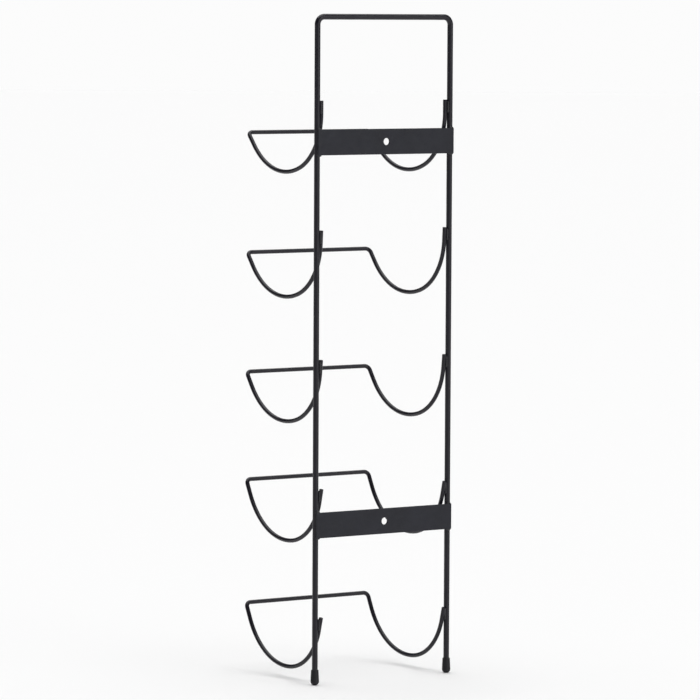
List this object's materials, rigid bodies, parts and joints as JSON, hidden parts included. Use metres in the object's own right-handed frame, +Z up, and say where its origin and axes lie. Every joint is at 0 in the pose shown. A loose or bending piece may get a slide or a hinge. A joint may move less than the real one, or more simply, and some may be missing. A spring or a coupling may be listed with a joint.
{
  "type": "wine rack",
  "caption": "Wall-mounted wire wine rack: a bent-wire hoop with two drilled wall straps and a column of U-shaped wire cradles that each hold a bottle lying along the wall.",
  "frame": {"origin": "midway between the two screw holes, on the plane of the wall that the straps' backs lie on", "axes": "+Z up along the uprights, +Y into the wall, -Y out to the bottles, X along the wall and along the bottles"},
  "size_m": [0.1528, 0.1266, 0.6],
  "materials": {
    "wire_coat": "satin charcoal-black powder coat on steel wire",
    "strap_coat": "satin charcoal-black powder coat on flat steel strap",
    "weld_coat": "satin charcoal-black powder coat over weld beads",
    "cap_rubber": "matte black moulded rubber"
  },
  "bodies": {
    "root": {"hoop_frame": "wire_coat", "upper_wall_strap": "strap_coat", "lower_wall_strap": "strap_coat", "bottle_cradle_1": "wire_coat", "bottle_cradle_2": "wire_coat", "bottle_cradle_3": "wire_coat", "bottle_cradle_4": "wire_coat", "bottle_cradle_5": "wire_coat", "foot_cap_left": "cap_rubber", "foot_cap_right": "cap_rubber", "cradle_welds": "weld_coat", "strap_welds": "weld_coat"}
  },
  "joints": []
}
